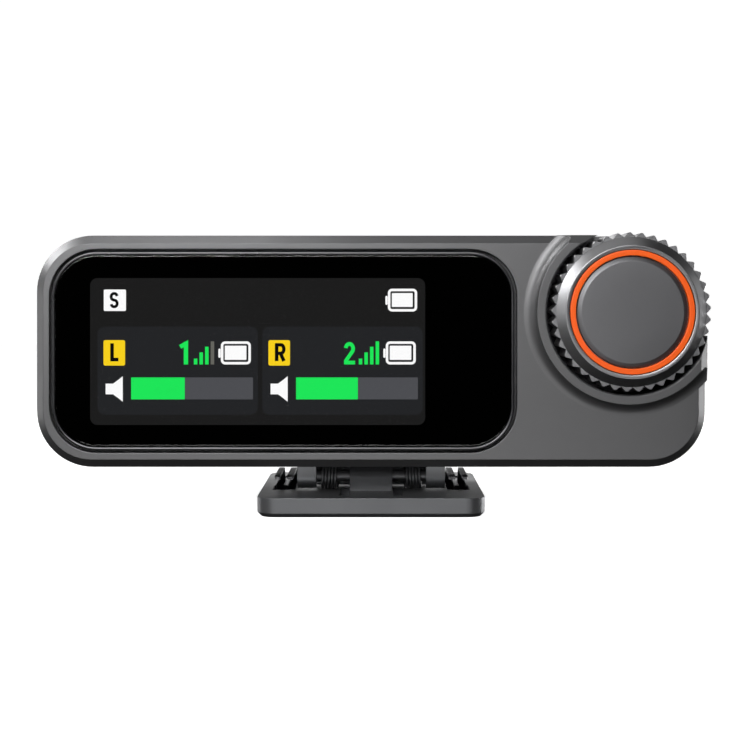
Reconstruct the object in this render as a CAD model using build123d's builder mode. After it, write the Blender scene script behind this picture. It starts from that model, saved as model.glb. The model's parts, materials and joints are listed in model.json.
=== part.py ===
"""Pocket wireless microphone receiver: bar-shaped body, colour display, knurled dial and a sprung clip foot.

Frame: +X right, +Y to the back (the display faces -Y), +Z up. Origin: centre of the foot's underside.
All lengths in millimetres.
"""

import os
from math import atan2, copysign, cos, degrees, pi, radians, sin

from build123d import *

# ---------------------------------------------------------------- driving dimensions
# shoe foot, which sets the scale: 18.0 to 18.6 wide and about 2 thick fits a standard accessory shoe
foot_width = 18.55
foot_depth = 19.2
foot_thickness = 1.57
foot_front_radius = 1.6
foot_rear_radius = 1.6
foot_edge_bevel = 0.33
foot_gap = 2.5  # from the plate's top to the body's underside

# body
body_width = 54.0
body_height = 18.7
body_depth = 20.0
body_corner = 4.55
dial_corner = 6.2  # the body's corner behind the dial follows the dial
front_bevel_in = 0.67
front_bevel_deep = 0.8
rear_bevel = 1.0
wall = 1.4
cover_depth = 3.0  # rear cover, from the parting line back
lip_depth = 0.7

# display stack, from the front back
glass_left, glass_right = -25.38, 11.28
glass_bottom, glass_top = 5.75, 21.18
glass_corner = 3.33
glass_recess = 0.05
glass_thickness = 0.75
trim_width = 0.26
trim_gap = 0.22
mask_thickness = 0.1
screen_left, screen_right = -22.67, 4.38
screen_bottom, screen_top = 7.47, 19.33
screen_corner = 0.6
panel_thickness = 1.4
ledge_thickness = 0.9

# dial
dial_x, dial_z = 20.65, 16.6
dial_tip_r = 6.34
dial_valley_r = 5.95
dial_teeth = 41
dial_face_r = 5.28
accent_outer_r = 4.92
accent_inner_r = 4.47
cap_r = 4.38
dial_rise = 2.4  # front of the dial above the body's face
dial_press = 0.35
shaft_r = 1.5
collar_inner_r = 6.63
collar_outer_r = 7.39
collar_rise = 1.0  # also the radius of the fillet at the collar's foot
well_depth = 2.5
well_floor = 1.2
bush_r = 2.6
bush_flange_r = 3.2

# clip hinge
hinge_y = -3.6
hinge_z = 2.75
pin_r = 0.5
knuckle_half = 1.78
knuckle_r = 1.1
cheek_inner, cheek_outer = 4.6, 6.19
cheek_r = 1.05
coil_inner_x, coil_outer_x = 2.75, 4.3
coil_r = 0.98
wire_d = 0.24

# power button, on top
button_x, button_y = -14.0, 2.7
button_length, button_width = 7.0, 3.0
button_rise = 0.18
button_travel = 0.2
light_x = button_x + 7.5
light_r = 0.6

# sockets, on the two ends
port_z = 13.42
usb_y = -1.25
usb_length, usb_width = 8.94, 3.16
usb_hole_gap = 0.12
jack_y = 3.7
jack_bore_r = 1.8
jack_nose_r = 2.4

running_gap = 0.05
slip_gap = 0.1
through = 4.0  # length of a cut that has to run right through a wall

# ---------------------------------------------------------------- levels worked out from them
body_bottom = foot_thickness + foot_gap
body_mid_z = body_bottom + body_height / 2
body_top = body_bottom + body_height
face_y = -body_depth / 2
back_y = body_depth / 2
split_y = back_y - cover_depth
side_x = body_width / 2
glass_front = face_y + glass_recess
glass_back = glass_front + glass_thickness
ledge_front = glass_back + mask_thickness
cavity_front = ledge_front + ledge_thickness
floor_y = face_y + well_depth
floor_back = floor_y + well_floor
dial_front = face_y - dial_rise
dial_back = floor_y - 0.5
board_front, board_back = 0.4, 1.2

outline_corners = [(side_x, body_top, dial_corner), (-side_x, body_top, body_corner),
                   (-side_x, body_bottom, body_corner), (side_x, body_bottom, body_corner)]
dial_axis = Axis((dial_x, 0, dial_z), (0, 1, 0))
dial_section = Plane(origin=(dial_x, 0, dial_z), x_dir=(1, 0, 0), z_dir=(0, 0, 1))
hinge_axis = Axis((0, hinge_y, hinge_z), (1, 0, 0))


# ---------------------------------------------------------------- helpers
def facing(y):
    """Upright plane at depth y, seen from the front: local x is X, local y is Z, and it faces the front."""
    return Plane(origin=(0, y, 0), x_dir=(1, 0, 0), z_dir=(0, -1, 0))


def dial_facing(y):
    """The same plane, centred on the dial's axis."""
    return Plane(origin=(dial_x, y, dial_z), x_dir=(1, 0, 0), z_dir=(0, -1, 0))


def across(x):
    """Upright plane at x, facing +X: local x is Y, local y is Z."""
    return Plane(origin=(x, 0, 0), x_dir=(0, 1, 0), z_dir=(1, 0, 0))


def body_outline(y, inset=0.0):
    """The body's front outline at depth y, pulled in by inset all round."""
    with BuildSketch(facing(y)) as outline:
        with Locations((0, body_mid_z)):
            Rectangle(body_width - 2 * inset, body_height - 2 * inset)
        for corner_x, corner_z, radius in outline_corners:
            near = outline.vertices().sort_by(lambda v: abs(v.X - corner_x) + abs(v.Y - corner_z))[0]
            fillet(near, radius - inset)
    return outline.sketch


def round_rect(y, left, right, bottom, top, corner):
    """A rectangle with round corners in the upright plane at depth y."""
    with BuildSketch(facing(y)) as outline:
        with Locations(((left + right) / 2, (bottom + top) / 2)):
            RectangleRounded(right - left, top - bottom, corner)
    return outline.sketch


def glass_outline(y, grow=0.0):
    """The cover glass's outline at depth y, grown by grow all round."""
    return round_rect(y, glass_left - grow, glass_right + grow, glass_bottom - grow, glass_top + grow,
                      glass_corner + grow)


def port_slot(x, y, length, thickness):
    """A slot with round ends, upright in the end plane at x, centred on (y, port_z)."""
    with BuildSketch(across(x)) as outline:
        with Locations((y, port_z)):
            SlotOverall(length, thickness, rotation=90)
    return outline.sketch


def end_circle(x, y, radius):
    """A circle in the end plane at x, centred on (y, port_z)."""
    with BuildSketch(across(x)) as outline:
        with Locations((y, port_z)):
            Circle(radius)
    return outline.sketch


os.makedirs("parts", exist_ok=True)


def finish(builder, name):
    """Name the finished piece and write it."""
    builder.part.label = name
    export_step(builder.part, f"parts/{name}.step")


# ---------------------------------------------------------------- front housing
screw_places = [(-23.5, 7.2), (-23.5, 19.6), (23.5, 7.2), (23.3, 19.4)]
boss_r = 1.5
boss_front = 2.0
boss_tie = 2.8
screw_hole_r = 0.55
screw_hole_depth = 4.2
gasket_out, gasket_in, gasket_thickness = 0.45, 0.9, 0.3
pad_half_width = 7.6
pad_top = body_bottom + 2.1
bracket_recess = 0.9
bracket_front, bracket_back = -5.0, 4.4
bracket_mid = (bracket_front + bracket_back) / 2
bracket_screw_places = [(-3.3, 2.2), (3.3, 2.2)]
bracket_screw_r = 0.62
bracket_screw_depth = 1.9
pocket_corner = 0.8
cover_open_left, cover_open_right = -24.15, 7.6
cover_open_bottom, cover_open_top = 6.35, 20.45

gasket_ring = body_outline(split_y, gasket_out) - body_outline(split_y, gasket_in)

bevel_taper = degrees(atan2(front_bevel_in, front_bevel_deep))
collar_top = face_y - collar_rise
collar_bevel_y = collar_top + front_bevel_deep

# the collar keeps inside the body's outline and has the same bevel at its own height
with BuildPart() as collar_limit:
    extrude(body_outline(0), amount=-collar_bevel_y)
    extrude(body_outline(collar_bevel_y), amount=front_bevel_deep, taper=bevel_taper)

with BuildPart() as dial_collar:
    with BuildSketch(dial_section) as collar_profile:
        with BuildLine():
            edge = 0.12
            Polyline((collar_outer_r, collar_top), (collar_inner_r + edge, collar_top),
                     (collar_inner_r, collar_top + edge),
                     (collar_inner_r, ledge_front), (collar_outer_r + collar_rise, ledge_front),
                     (collar_outer_r + collar_rise, face_y))
            CenterArc((collar_outer_r + collar_rise, collar_top), collar_rise, 90, 90)
        make_face()
    revolve(axis=dial_axis)
    add(collar_limit.part, mode=Mode.INTERSECT)

with BuildPart() as housing_cavity:
    extrude(body_outline(split_y + 1, inset=wall), amount=split_y + 1 - cavity_front)
    with BuildSketch(dial_facing(floor_back)):
        Circle(collar_inner_r + collar_rise)
    extrude(amount=5, mode=Mode.SUBTRACT)

with BuildPart() as front_housing:
    bevel_y = face_y + front_bevel_deep
    extrude(body_outline(split_y), amount=split_y - bevel_y)
    extrude(body_outline(bevel_y), amount=front_bevel_deep, taper=bevel_taper)
    add(dial_collar.part)
    add(housing_cavity.part, mode=Mode.SUBTRACT)
    # pocket for the glass and its trim ring, and the smaller opening for the display behind it
    extrude(glass_outline(ledge_front, trim_width + trim_gap), amount=through, mode=Mode.SUBTRACT)
    extrude(round_rect(cavity_front + 0.5, cover_open_left, cover_open_right, cover_open_bottom,
                       cover_open_top, pocket_corner), amount=through, mode=Mode.SUBTRACT)
    # well for the dial, open at the body's top and end, and the hole for its bush
    with BuildSketch(dial_facing(floor_y)):
        Circle(collar_inner_r)
    extrude(amount=through, mode=Mode.SUBTRACT)
    with BuildSketch(dial_facing(floor_back)):
        Circle(bush_r)
    extrude(amount=well_floor, mode=Mode.SUBTRACT)
    # screw bosses, tied to the walls by the corners they stand in
    with BuildSketch(facing(split_y)):
        with Locations(*screw_places):
            Circle(boss_r)
    extrude(amount=split_y - boss_front)
    with BuildSketch(facing(split_y)):
        for place_x, place_z in screw_places:
            with Locations((place_x + copysign(boss_tie / 2, place_x), place_z)):
                Rectangle(boss_tie, 2 * boss_r)
    extrude(amount=split_y - boss_front)
    extrude(body_outline(split_y), amount=2 * body_depth, mode=Mode.INTERSECT)
    with BuildSketch(facing(split_y)):
        with Locations(*screw_places):
            Circle(screw_hole_r)
    extrude(amount=screw_hole_depth, mode=Mode.SUBTRACT)
    # floor pad that takes the clip's screws, and the recess for the clip's bracket
    with BuildSketch(Plane.XY.offset(pad_top)):
        with Locations((0, bracket_mid)):
            Rectangle(2 * pad_half_width, bracket_back - bracket_front + 1.6)
    extrude(amount=body_bottom + 1 - pad_top)
    with BuildSketch(Plane.XY.offset(body_bottom)):
        with Locations((0, bracket_mid)):
            RectangleRounded(2 * cheek_outer + slip_gap, bracket_back - bracket_front + slip_gap,
                             pocket_corner)
    extrude(amount=bracket_recess, mode=Mode.SUBTRACT)
    with BuildSketch(Plane.XY.offset(body_bottom)):
        with Locations(*bracket_screw_places):
            Circle(bracket_screw_r)
    extrude(amount=bracket_screw_depth, mode=Mode.SUBTRACT)
    # groove for the seam gasket
    extrude(gasket_ring, amount=gasket_thickness, mode=Mode.SUBTRACT)
    # openings in the two ends
    extrude(port_slot(-side_x - 1, usb_y, usb_length + 2 * usb_hole_gap, usb_width + 2 * usb_hole_gap),
            amount=through, mode=Mode.SUBTRACT)
    extrude(end_circle(-side_x - 1, jack_y, jack_nose_r + running_gap), amount=through, mode=Mode.SUBTRACT)
    extrude(end_circle(side_x + 1, jack_y, jack_nose_r + running_gap), amount=-through, mode=Mode.SUBTRACT)
    # openings in the top
    with BuildSketch(Plane.XY.offset(body_top - wall - 0.5)):
        with Locations((button_x, button_y)):
            SlotOverall(button_length + 2 * slip_gap, button_width + 2 * slip_gap)
        with Locations((light_x, button_y)):
            Circle(light_r)
    extrude(amount=through, mode=Mode.SUBTRACT)
finish(front_housing, "front_housing")

# ---------------------------------------------------------------- rear cover, seam gasket and screws
cover_inner_y = back_y - wall
cover_hole_r = 0.75
screw_sunk = 0.1
socket_r = 0.5  # hexagon sockets in the screw heads, to their corners
contact_places = [(-3.0, 8.2), (0.0, 8.2), (3.0, 8.2)]
contact_r = 0.8
head_r, head_depth = 1.15, 0.7

with BuildPart() as rear_cover:
    extrude(body_outline(back_y), amount=cover_depth)
    fillet(rear_cover.faces().sort_by(Axis.Y)[-1].edges(), rear_bevel)
    extrude(body_outline(cover_inner_y, wall), amount=cover_depth - wall, mode=Mode.SUBTRACT)
    # bosses that meet the front housing's, and the countersunk holes through them
    with BuildSketch(facing(cover_inner_y)):
        with Locations(*screw_places):
            Circle(boss_r)
    extrude(amount=cover_depth - wall)
    extrude(body_outline(back_y), amount=cover_depth, mode=Mode.INTERSECT)
    with BuildSketch(facing(back_y)):
        with Locations(*screw_places):
            Circle(cover_hole_r)
    extrude(amount=cover_depth, mode=Mode.SUBTRACT)
    with BuildSketch(facing(back_y)):
        with Locations(*screw_places):
            Circle(head_r + running_gap)
    extrude(amount=head_depth + screw_sunk, mode=Mode.SUBTRACT)
    with BuildSketch(facing(back_y)):
        with Locations(*contact_places):
            Circle(contact_r)
    extrude(amount=wall, mode=Mode.SUBTRACT)
finish(rear_cover, "rear_cover")

with BuildPart() as seam_gasket:
    extrude(gasket_ring, amount=gasket_thickness)
finish(seam_gasket, "seam_gasket")

with BuildPart() as housing_screws:
    with BuildSketch(facing(back_y - screw_sunk)):
        with Locations(*screw_places):
            Circle(head_r)
    extrude(amount=head_depth)
    with BuildSketch(facing(back_y - screw_sunk)):
        with Locations(*screw_places):
            Circle(screw_hole_r)
    extrude(amount=cover_depth + 3.6)
    with BuildSketch(facing(back_y - screw_sunk)):
        with Locations(*screw_places):
            RegularPolygon(socket_r, 6)
    extrude(amount=0.4, mode=Mode.SUBTRACT)
finish(housing_screws, "housing_screws")

with BuildPart() as charging_contacts:
    with BuildSketch(facing(back_y - screw_sunk)):
        with Locations(*contact_places):
            Circle(contact_r)
    extrude(amount=wall + 0.3)
finish(charging_contacts, "charging_contacts")

# ---------------------------------------------------------------- display stack
with BuildPart() as trim_ring:
    extrude(glass_outline(ledge_front, trim_width), amount=ledge_front - face_y)
    extrude(glass_outline(ledge_front, 0.01), amount=ledge_front - face_y, mode=Mode.SUBTRACT)
    chamfer(trim_ring.faces().sort_by(Axis.Y)[0].edges(), 0.06)
finish(trim_ring, "trim_ring")

with BuildPart() as cover_glass:
    extrude(glass_outline(glass_back), amount=glass_thickness)
    chamfer(cover_glass.faces().sort_by(Axis.Y)[0].edges(), 0.08)
finish(cover_glass, "cover_glass")

with BuildPart() as mask_frame:
    extrude(glass_outline(ledge_front), amount=mask_thickness)
    extrude(round_rect(ledge_front, screen_left, screen_right, screen_bottom, screen_top, screen_corner),
            amount=mask_thickness, mode=Mode.SUBTRACT)
finish(mask_frame, "mask_frame")

panel_left, panel_right = cover_open_left + 0.1, cover_open_right - 0.1
panel_bottom, panel_top = cover_open_bottom + 0.1, cover_open_top - 0.1
panel_back = ledge_front + panel_thickness
panel_corner = 0.7
with BuildPart() as display_panel:
    extrude(round_rect(panel_back, panel_left, panel_right, panel_bottom, panel_top, panel_corner),
            amount=panel_thickness)
finish(display_panel, "display_panel")

tray_thickness = 0.25
with BuildPart() as display_tray:
    extrude(round_rect(panel_back + tray_thickness, panel_left, panel_right, panel_bottom, panel_top,
                       panel_corner), amount=tray_thickness)
finish(display_tray, "display_tray")

# ---------------------------------------------------------------- battery and main board
battery_left, battery_right = -19.0, 11.4
battery_bottom, battery_top = 6.6, 20.2
battery_front, battery_back = -6.8, -0.4
with BuildPart() as battery:
    extrude(round_rect(battery_back, battery_left, battery_right, battery_bottom, battery_top, 1.6),
            amount=battery_back - battery_front)
    fillet(battery.faces().filter_by(Axis.Y).edges(), 0.5)
finish(battery, "battery")

with BuildPart() as battery_pad:
    extrude(round_rect(battery_front, -17.0, 5.0, 8.6, 18.2, 0.5),
            amount=battery_front - panel_back - tray_thickness)
finish(battery_pad, "battery_pad")

board_bottom, board_top = 6.4, 20.35
board_notch = 4.2
board_width = 50.4
with BuildPart() as main_board:
    with BuildSketch(facing(board_back)):
        with Locations((0, (board_bottom + board_top) / 2)):
            Rectangle(board_width, board_top - board_bottom)
        with Locations(*screw_places):
            Rectangle(board_notch, board_notch, mode=Mode.SUBTRACT)
    extrude(amount=board_back - board_front)
finish(main_board, "main_board")

shield_depth = 2.0
shield_sheet = 0.2
with BuildPart() as shield_can:
    extrude(round_rect(board_back + shield_depth, -10.5, 10.5, 8.0, 17.0, 0.6), amount=shield_depth)
    extrude(round_rect(board_back + shield_depth - shield_sheet, -10.3, 10.3, 8.2, 16.8, 0.4),
            amount=shield_depth, mode=Mode.SUBTRACT)
finish(shield_can, "shield_can")

chip_height = 0.9
chip_places = [(-6.0, 12.5, 6.0), (2.5, 12.5, 5.0), (7.6, 14.2, 2.4)]
with BuildPart() as board_chips:
    for chip_x, chip_z, chip_size in chip_places:
        with BuildSketch(facing(board_back + chip_height)):
            with Locations((chip_x, chip_z)):
                Rectangle(chip_size, chip_size)
        extrude(amount=chip_height)
finish(board_chips, "board_chips")

flex_width = 6.0
with BuildPart() as display_flex:
    with BuildSketch(Plane.XY.offset(body_mid_z - flex_width / 2)):
        with BuildLine():
            flex_from = panel_back + tray_thickness + 0.15
            flex_path = FilletPolyline((6.0, flex_from), (12.2, flex_from), (12.2, board_front - 0.1),
                                       (14.2, board_front - 0.1), radius=0.7)
            offset(flex_path, amount=0.08, side=Side.BOTH)
        make_face()
    extrude(amount=flex_width)
finish(display_flex, "display_flex")

# antennas, stuck inside the rear cover, which lets radio through
antenna_thickness = 0.15
antenna_places = {"antenna_left": (-17.5, 18.6), "antenna_right": (17.0, 8.0)}
for antenna_name, (antenna_x, antenna_z) in antenna_places.items():
    with BuildPart() as antenna:
        with BuildSketch(facing(cover_inner_y)):
            with Locations((antenna_x, antenna_z)):
                Rectangle(8.0, 2.6)
            with Locations((antenna_x + 0.6, antenna_z + 0.2)):
                Rectangle(6.0, 0.6, mode=Mode.SUBTRACT)
        extrude(amount=antenna_thickness)
    finish(antenna, antenna_name)

# ---------------------------------------------------------------- sockets
usb_depth = 7.3
usb_mouth_x = -side_x + 0.1
usb_shell = 0.3
with BuildPart() as usb_socket:
    extrude(port_slot(usb_mouth_x, usb_y, usb_length, usb_width), amount=usb_depth)
    extrude(port_slot(usb_mouth_x, usb_y, usb_length - 2 * usb_shell, usb_width - 2 * usb_shell),
            amount=usb_depth - 0.8, mode=Mode.SUBTRACT)
    with BuildSketch(across(usb_mouth_x + 0.8)):
        with Locations((usb_y, port_z)):
            RectangleRounded(0.7, 6.6, 0.2)
    extrude(amount=usb_depth - 1.2)
finish(usb_socket, "usb_socket")

jack_length = 13.0
jack_body_height = 6.0
jack_bore_length = 11.5


def make_jack(name, end):
    """A 3.5 mm socket that opens at the body's end (-1 left, +1 right) and stands on the board's back."""
    with BuildPart() as jack:
        with BuildSketch(across(end * (side_x - wall - 0.1))):
            with Locations((jack_y, port_z)):
                RectangleRounded(2 * (jack_y - board_back), jack_body_height, 0.4)
        extrude(amount=-end * (jack_length - wall))
        extrude(end_circle(end * side_x, jack_y, jack_nose_r), amount=-end * 2)
        extrude(end_circle(end * side_x, jack_y, jack_bore_r), amount=-end * jack_bore_length,
                mode=Mode.SUBTRACT)
        circles = jack.edges().filter_by(GeomType.CIRCLE)
        mouth = circles.filter_by(lambda e: abs(abs(e.center().X) - side_x) < 0.01)
        chamfer(mouth.sort_by(SortBy.RADIUS)[0], 0.2)
    finish(jack, name)


make_jack("line_out_jack", -1)
make_jack("monitor_jack", 1)

# ---------------------------------------------------------------- power button, switch and status light
flange_thickness = 0.5
flange_top = body_top - wall - slip_gap
flange_bottom = flange_top - flange_thickness
with BuildPart() as power_button:
    with BuildSketch(Plane.XY.offset(flange_bottom)):
        with Locations((button_x, button_y)):
            SlotOverall(button_length + 1.0, button_width + 0.9)
    extrude(amount=flange_thickness)
    with BuildSketch(Plane.XY.offset(flange_bottom)):
        with Locations((button_x, button_y)):
            SlotOverall(button_length, button_width)
    extrude(amount=body_top + button_rise - flange_bottom)
    fillet(power_button.faces().sort_by(Axis.Z)[-1].edges(), 0.15)
finish(power_button, "power_button")

actuator_top = flange_bottom - button_travel - 0.05
switch_top = actuator_top - 0.3
with BuildPart() as power_switch:
    with BuildSketch(Plane.XY.offset(switch_top)):
        with Locations((button_x, board_back + 1.6)):
            Rectangle(4.2, 3.2)
    extrude(amount=-2.4)
    with BuildSketch(Plane.XY.offset(switch_top)):
        with Locations((button_x, board_back + 1.6)):
            Circle(0.8)
    extrude(amount=actuator_top - switch_top)
finish(power_switch, "power_switch")

with BuildPart() as status_light:
    with BuildSketch(Plane.XY.offset(body_top - wall)):
        with Locations((light_x, button_y)):
            Circle(light_r)
    extrude(amount=wall)
    with BuildSketch(Plane.XY.offset(body_top - wall)):
        with Locations((light_x, button_y)):
            Circle(light_r + 0.4)
    extrude(amount=-0.6)
finish(status_light, "status_light")

# ---------------------------------------------------------------- dial
tooth_pitch = 2 * pi / dial_teeth
tip_half = 0.06 / dial_tip_r  # half the angle of the flat on each tip
first_tip = radians(91)


def tooth_points(index):
    """A tooth of the knurled rim: one valley point and the two corners of its narrow tip."""
    middle = first_tip + index * tooth_pitch
    corners = [(dial_valley_r, middle - tooth_pitch / 2), (dial_tip_r, middle - tip_half),
               (dial_tip_r, middle + tip_half)]
    return [(radius * cos(angle), radius * sin(angle)) for radius, angle in corners]


rim_points = [point for index in range(dial_teeth) for point in tooth_points(index)]
accent_floor = dial_front + 0.5
cap_floor = dial_front + 0.7
bevel_start = dial_front + 0.68

with BuildPart() as dial_wheel:
    with BuildSketch(dial_facing(dial_back)):
        Polygon(*rim_points, align=None)
    extrude(amount=dial_back - dial_front)
    with BuildSketch(dial_section):
        with BuildLine():
            Polyline((shaft_r, dial_back), (dial_tip_r - 0.25, dial_back), (dial_tip_r, dial_back - 0.25),
                     (dial_tip_r, bevel_start + 0.06), (dial_tip_r - 0.06, bevel_start),
                     (dial_valley_r, bevel_start), (dial_face_r, dial_front),
                     (accent_outer_r + 0.05, dial_front), (accent_outer_r + 0.05, accent_floor),
                     (cap_r + 0.02, accent_floor), (cap_r + 0.02, cap_floor), (shaft_r, cap_floor),
                     (shaft_r, dial_back))
        make_face()
    revolve(axis=dial_axis, mode=Mode.INTERSECT)
finish(dial_wheel, "dial_wheel")

with BuildPart() as dial_accent_ring:
    with BuildSketch(dial_facing(accent_floor)):
        Circle(accent_outer_r)
        Circle(accent_inner_r, mode=Mode.SUBTRACT)
    extrude(amount=accent_floor - dial_front - 0.04)
    chamfer(dial_accent_ring.faces().sort_by(Axis.Y)[0].edges(), 0.05)
finish(dial_accent_ring, "dial_accent_ring")

with BuildPart() as dial_cap:
    with BuildSketch(dial_facing(cap_floor)):
        Circle(cap_r)
    extrude(amount=cap_floor - dial_front)
    chamfer(dial_cap.faces().sort_by(Axis.Y)[0].edges(), 0.08)
finish(dial_cap, "dial_cap")

shaft_back = -3.9
with BuildPart() as dial_shaft:
    with BuildSketch(dial_facing(shaft_back)):
        Circle(shaft_r)
    extrude(amount=shaft_back - cap_floor)
    chamfer(dial_shaft.faces().sort_by(Axis.Y)[-1].edges(), 0.2)
finish(dial_shaft, "dial_shaft")

bush_flange = 0.1
with BuildPart() as dial_bush:
    with BuildSketch(dial_facing(floor_back)):
        Circle(bush_r)
    extrude(amount=well_floor)
    with BuildSketch(dial_facing(floor_y)):
        Circle(bush_flange_r)
    extrude(amount=bush_flange)
    with BuildSketch(dial_facing(floor_back)):
        Circle(shaft_r + running_gap)
    extrude(amount=well_floor + bush_flange, mode=Mode.SUBTRACT)
finish(dial_bush, "dial_bush")

encoder_back = -2.4
encoder_pocket = -3.85
with BuildPart() as encoder_body:
    with BuildSketch(dial_facing(encoder_back)):
        Circle(4.6)
    extrude(amount=encoder_back - floor_back)
    with BuildSketch(dial_facing(encoder_back)):
        Circle(shaft_r + running_gap)
    extrude(amount=encoder_back - floor_back, mode=Mode.SUBTRACT)
    with BuildSketch(dial_facing(encoder_back)):
        Circle(2.3)
    extrude(amount=encoder_back - encoder_pocket, mode=Mode.SUBTRACT)
    with BuildSketch(dial_facing(board_front)):
        with Locations((-3.8, -1.2), (3.8, -1.2)):
            Rectangle(0.8, 0.8)
    extrude(amount=board_front - encoder_back)
finish(encoder_body, "encoder_body")

with BuildPart() as dial_plunger:
    with BuildSketch(dial_facing(encoder_back - 0.2)):
        Circle(2.2)
    extrude(amount=encoder_back - 0.2 - shaft_back - 0.1)
    with BuildSketch(dial_facing(encoder_back - 0.2)):
        Circle(0.8)
    extrude(amount=-0.3)
finish(dial_plunger, "dial_plunger")

press_top = encoder_back + 0.1 + dial_press + 0.05
with BuildPart() as press_switch:
    with BuildSketch(dial_facing(board_front)):
        Rectangle(5.4, 5.4)
    extrude(amount=board_front - press_top - 0.4)
    with BuildSketch(dial_facing(board_front)):
        Circle(0.9)
    extrude(amount=board_front - press_top)
finish(press_switch, "press_switch")

# ---------------------------------------------------------------- clip: bracket, pin, springs and foot
wall_front, wall_back = -1.3, -0.3
wall_bottom = foot_thickness + 0.13
bracket_hole_r = 0.75
bracket_head_r, bracket_head_depth = 1.25, 0.43

with BuildPart() as clip_bracket:
    with BuildSketch(Plane.XY.offset(body_bottom)):
        with Locations((0, bracket_mid)):
            RectangleRounded(2 * cheek_outer, bracket_back - bracket_front, 0.75)
    extrude(amount=bracket_recess)
    for side in (-1, 1):
        with BuildSketch(across(side * cheek_inner)):
            with Locations((hinge_y, hinge_z)):
                Circle(cheek_r)
            with BuildLine():
                Polyline((hinge_y - cheek_r, hinge_z), (hinge_y - cheek_r, body_bottom + 0.3),
                         (bracket_back - 1.0, body_bottom + 0.3), (bracket_back - 1.0, body_bottom - 0.3),
                         (hinge_y + 0.9, hinge_z - 0.5), (hinge_y, hinge_z), close=True)
            make_face()
        extrude(amount=side * (cheek_outer - cheek_inner))
        with BuildSketch(across(side * cheek_inner)):
            with Locations((hinge_y, hinge_z)):
                Circle(pin_r + 0.03)
        extrude(amount=side * (cheek_outer - cheek_inner), mode=Mode.SUBTRACT)
    # web between the cheeks, behind the knuckle and the springs
    with BuildSketch(Plane.XY.offset(wall_bottom)):
        with Locations((0, (wall_front + wall_back) / 2)):
            Rectangle(2 * cheek_inner + slip_gap, wall_back - wall_front)
    extrude(amount=body_bottom + bracket_recess / 2 - wall_bottom)
    with BuildSketch(Plane.XY.offset(body_bottom)):
        with Locations(*bracket_screw_places):
            Circle(bracket_hole_r)
    extrude(amount=bracket_recess, mode=Mode.SUBTRACT)
    with BuildSketch(Plane.XY.offset(body_bottom)):
        with Locations(*bracket_screw_places):
            Circle(bracket_head_r + running_gap)
    extrude(amount=bracket_head_depth + 0.02, mode=Mode.SUBTRACT)
finish(clip_bracket, "clip_bracket")

with BuildPart() as bracket_screws:
    with BuildSketch(Plane.XY.offset(body_bottom + 0.02)):
        with Locations(*bracket_screw_places):
            Circle(bracket_head_r)
    extrude(amount=bracket_head_depth)
    with BuildSketch(Plane.XY.offset(body_bottom + 0.02)):
        with Locations(*bracket_screw_places):
            Circle(bracket_screw_r)
    extrude(amount=bracket_screw_depth - 0.1)
    with BuildSketch(Plane.XY.offset(body_bottom)):
        with Locations(*bracket_screw_places):
            RegularPolygon(socket_r, 6)
    extrude(amount=0.3, mode=Mode.SUBTRACT)
finish(bracket_screws, "bracket_screws")

spring_slot_front = -3.9
finger_bands = [(7.66, 8.16), (6.56, 7.12)]
spring_root_front, spring_root_back = 4.6, 6.6
spring_left, spring_right = 6.4, 8.32
spring_mid = (spring_left + spring_right) / 2
finger_mid = (spring_slot_front + spring_root_front) / 2
root_mid = (spring_root_front + spring_root_back) / 2
knuckle_back = -1.9
knuckle_root = foot_thickness - 0.2
pocket_in, pocket_out = 1.83, 2.6
pocket_front, pocket_back = -7.8, -2.5
pocket_depth = 1.0
spring_slot_mid = -0.7  # the open pocket under the fingers' tips ends here
spring_slot_depth, spring_root_depth = 1.0, 0.35
leg_bottom, leg_top = 0.9, body_bottom - 0.08
leg_hole_x = coil_inner_x + wire_d / 2
leg_hole_y = hinge_y + coil_r
leg_r = wire_d / 2 - 0.012
leg_overlap = 0.06  # how far a leg runs into the coil it is joined to

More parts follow.
